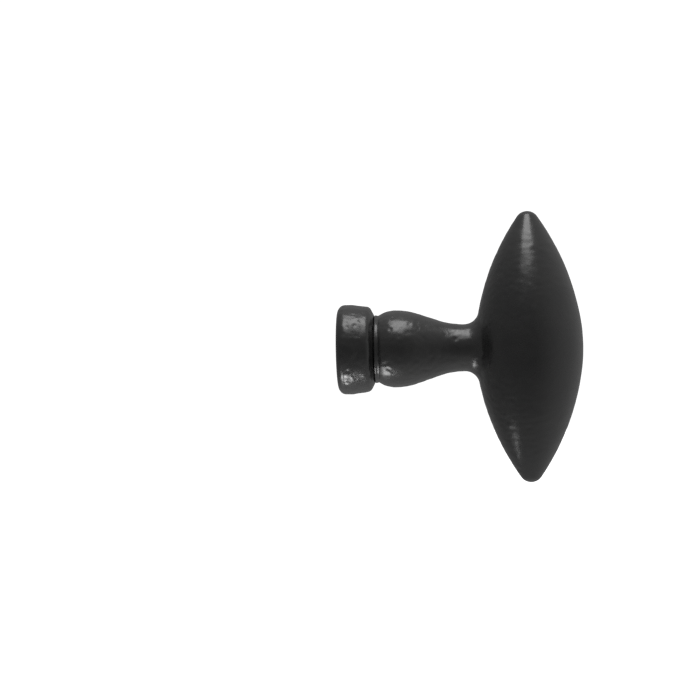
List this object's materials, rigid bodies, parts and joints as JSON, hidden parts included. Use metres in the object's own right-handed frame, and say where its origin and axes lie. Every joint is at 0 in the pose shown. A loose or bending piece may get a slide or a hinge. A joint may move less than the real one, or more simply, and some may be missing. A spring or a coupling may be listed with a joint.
{
  "type": "pull knob",
  "caption": "Olive-shaped cast pull knob on a turned baluster stem with a foot collar, held from behind the door by a pan-head screw.",
  "frame": {"origin": "centre of the foot's flat face, where the axis of the stem and of its fixing screw crosses the door's face", "axes": "+X along the stem, away from the door; +Z along the olive's long axis; Y is the olive's width"},
  "size_m": [0.0542, 0.0248, 0.06],
  "materials": {
    "black_coated_iron": "matte black coating over a slightly rough casting",
    "black_coated_collar": "matte black coating over a turned ring",
    "zinc_plated_washer": "bright zinc plate",
    "zinc_plated_steel": "bright zinc plate"
  },
  "bodies": {
    "knob": {"knob_casting": "black_coated_iron", "foot_collar": "black_coated_collar"},
    "washer": {"plain_washer": "zinc_plated_washer"},
    "screw": {"fixing_screw": "zinc_plated_steel"}
  },
  "joints": [
    {"name": "screw_travel", "type": "slide", "parent": "knob", "child": "washer", "axis": [-1, 0, 0], "range_m": [0, 0.0245]},
    {"name": "screw_turn", "type": "hinge", "parent": "washer", "child": "screw", "pos_m": [0, 0, 0], "axis": [-1, 0, 0], "range_deg": [0, 12600]}
  ],
  "couplings": [
    {"joint": "screw_turn", "follows": "screw_travel", "rad_per_m": 8976}
  ]
}
